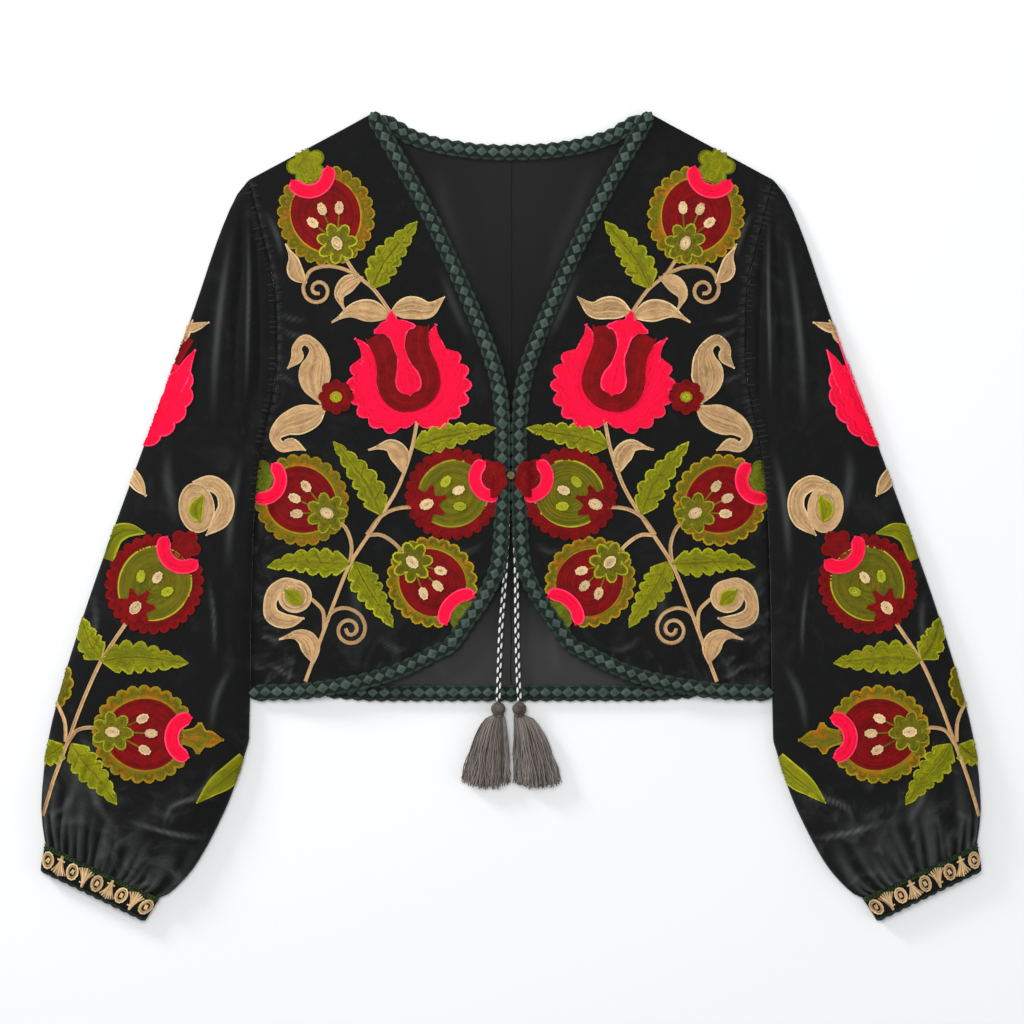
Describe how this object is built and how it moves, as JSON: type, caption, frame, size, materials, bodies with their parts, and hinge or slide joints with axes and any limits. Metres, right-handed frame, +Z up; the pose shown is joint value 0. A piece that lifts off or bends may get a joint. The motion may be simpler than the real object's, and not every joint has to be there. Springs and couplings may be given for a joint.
{
  "type": "bolero jacket",
  "caption": "Dark velvet bolero jacket laid out flat: bishop sleeves gathered into cuffs, rounded fronts, dark edge braid, pomegranate embroidery and tasselled ties.",
  "frame": {"origin": "middle of the laid-out jacket, on the surface it rests on", "axes": "+X to the wearer's left, +Y towards the neck, +Z up from the surface"},
  "size_m": [0.7912, 0.682, 0.0175],
  "materials": {
    "velvet": "short cotton velvet pile, near black",
    "lining": "charcoal satin, dull",
    "braid": "woven passementerie braid, grey green",
    "cord": "twisted black and white cord",
    "tassel": "warm grey silky strands",
    "bead": "small green and beige bead"
  },
  "bodies": {
    "root": {"back": "velvet", "back_lining": "lining", "front_left": "velvet", "front_right": "velvet", "front_braid_left": "braid", "front_braid_right": "braid", "back_neck_braid": "braid", "back_hem_braid": "braid", "sleeve_left": "velvet", "sleeve_right": "velvet", "cuff_left": "velvet", "cuff_right": "velvet", "cuff_edging_left": "braid", "cuff_edging_right": "braid", "tie_cord_left": "cord", "tie_cord_right": "cord", "tassel_left": "tassel", "tassel_right": "tassel", "closing_bead": "bead"}
  },
  "joints": []
}
